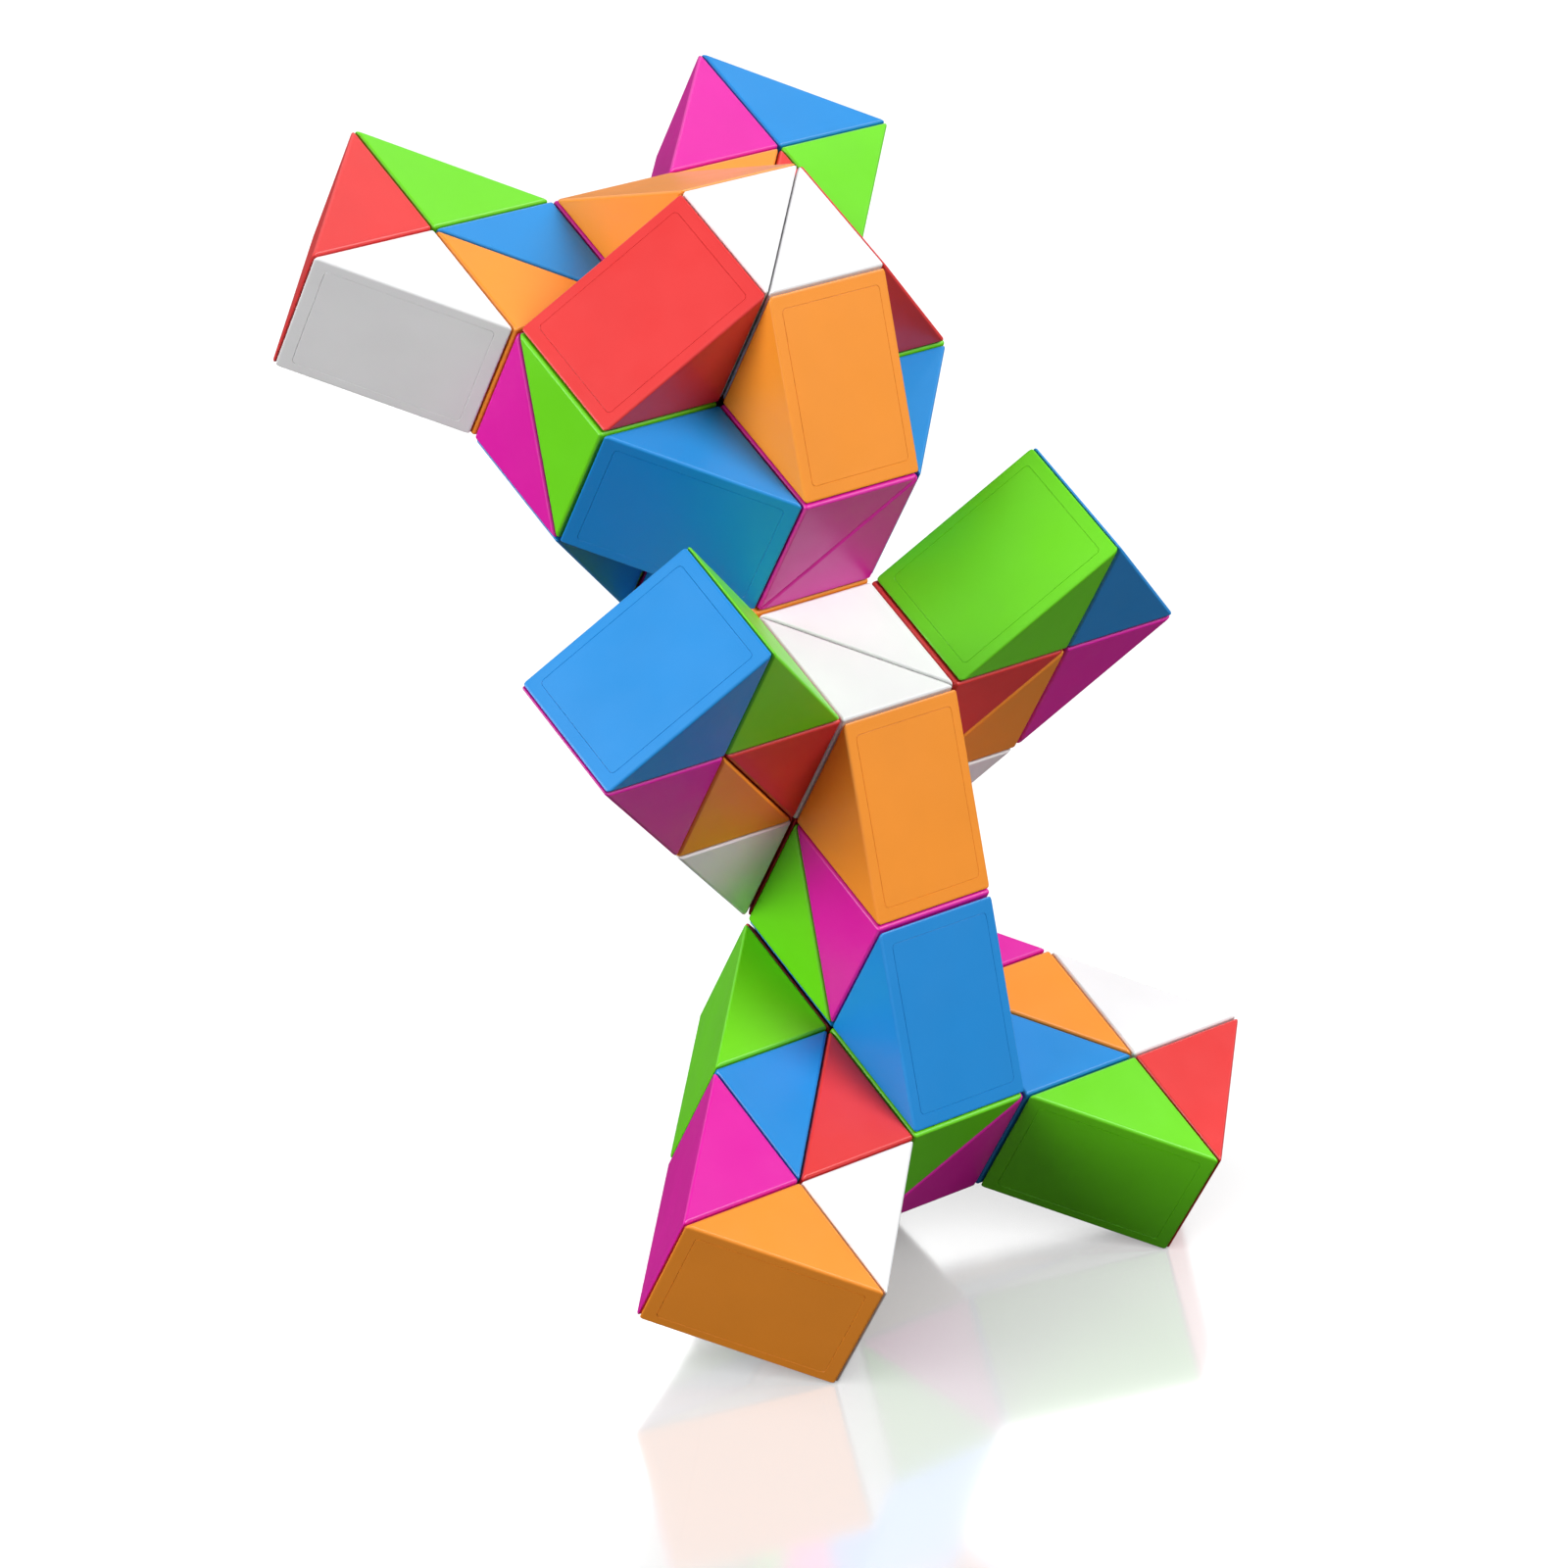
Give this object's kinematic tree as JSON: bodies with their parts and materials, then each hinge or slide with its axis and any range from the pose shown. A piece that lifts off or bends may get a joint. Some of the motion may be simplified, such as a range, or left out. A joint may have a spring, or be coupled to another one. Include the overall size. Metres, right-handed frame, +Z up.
{
  "type": "twisty snake puzzle",
  "caption": "Chain of right-angled wedge blocks in six repeating colours, joined face to face by spring bolts and folded into a sitting bear figure.",
  "frame": {"origin": "bottom centre of the folded figure's bounding box, on the surface that it is posed on", "axes": "+Z up, -Y the way the figure faces, +X to the right as seen from its front; left and right in the names are as seen from the front"},
  "size_m": [0.0988, 0.1236, 0.1424],
  "materials": {
    "red_plastic": "moulded ABS, satin gloss",
    "green_plastic": "moulded ABS, satin gloss",
    "blue_plastic": "moulded ABS, satin gloss",
    "magenta_plastic": "moulded ABS, satin gloss",
    "orange_plastic": "moulded ABS, satin gloss",
    "white_plastic": "moulded ABS, satin gloss",
    "screw_steel": "zinc plated",
    "spring_steel": "drawn spring wire"
  },
  "bodies": {
    "upper_body": {"body_blue_shells": "blue_plastic", "body_green_shells": "green_plastic", "body_magenta_shells": "magenta_plastic", "body_orange_shells": "orange_plastic", "body_red_shells": "red_plastic", "body_white_shells": "white_plastic", "head_blue_shells": "blue_plastic", "head_green_shells": "green_plastic", "head_magenta_shells": "magenta_plastic", "head_orange_shells": "orange_plastic", "head_red_shells": "red_plastic", "head_white_shells": "white_plastic", "upper_body_blue_lids": "blue_plastic", "upper_body_green_lids": "green_plastic", "upper_body_joint_screws": "screw_steel", "upper_body_joint_springs": "spring_steel", "upper_body_magenta_lids": "magenta_plastic", "upper_body_orange_lids": "orange_plastic", "upper_body_red_lids": "red_plastic", "upper_body_white_lids": "white_plastic"},
    "left_leg": {"left_leg_blue_lids": "blue_plastic", "left_leg_blue_shells": "blue_plastic", "left_leg_green_lids": "green_plastic", "left_leg_green_shells": "green_plastic", "left_leg_joint_screws": "screw_steel", "left_leg_joint_springs": "spring_steel", "left_leg_magenta_lids": "magenta_plastic", "left_leg_magenta_shells": "magenta_plastic", "left_leg_orange_lids": "orange_plastic", "left_leg_orange_shells": "orange_plastic", "left_leg_red_lids": "red_plastic", "left_leg_red_shells": "red_plastic", "left_leg_white_lids": "white_plastic", "left_leg_white_shells": "white_plastic"},
    "right_leg": {"right_leg_blue_lids": "blue_plastic", "right_leg_blue_shells": "blue_plastic", "right_leg_green_lids": "green_plastic", "right_leg_green_shells": "green_plastic", "right_leg_joint_screws": "screw_steel", "right_leg_joint_springs": "spring_steel", "right_leg_magenta_lids": "magenta_plastic", "right_leg_magenta_shells": "magenta_plastic", "right_leg_orange_lids": "orange_plastic", "right_leg_orange_shells": "orange_plastic", "right_leg_red_lids": "red_plastic", "right_leg_red_shells": "red_plastic", "right_leg_white_lids": "white_plastic", "right_leg_white_shells": "white_plastic"},
    "tail": {"tail_green_lids": "green_plastic", "tail_green_shells": "green_plastic", "tail_joint_screws": "screw_steel", "tail_joint_springs": "spring_steel", "tail_red_lids": "red_plastic", "tail_red_shells": "red_plastic", "tail_white_lids": "white_plastic", "tail_white_shells": "white_plastic"}
  },
  "joints": [
    {"name": "left_hip_turn", "type": "hinge", "parent": "upper_body", "child": "left_leg", "pos_m": [0, -0.0313, 0.04435], "axis": [0, 0.8944, 0.4472], "range_deg": [0, 180]},
    {"name": "right_hip_turn", "type": "hinge", "parent": "upper_body", "child": "right_leg", "pos_m": [0.02, -0.02236, 0.02646], "axis": [0, -0.8944, -0.4472], "range_deg": [0, 90]},
    {"name": "tail_turn", "type": "hinge", "parent": "right_leg", "child": "tail", "pos_m": [0, -0.01342, 0.00857], "axis": [0, -0.8944, -0.4472], "range_deg": [0, 180]}
  ]
}
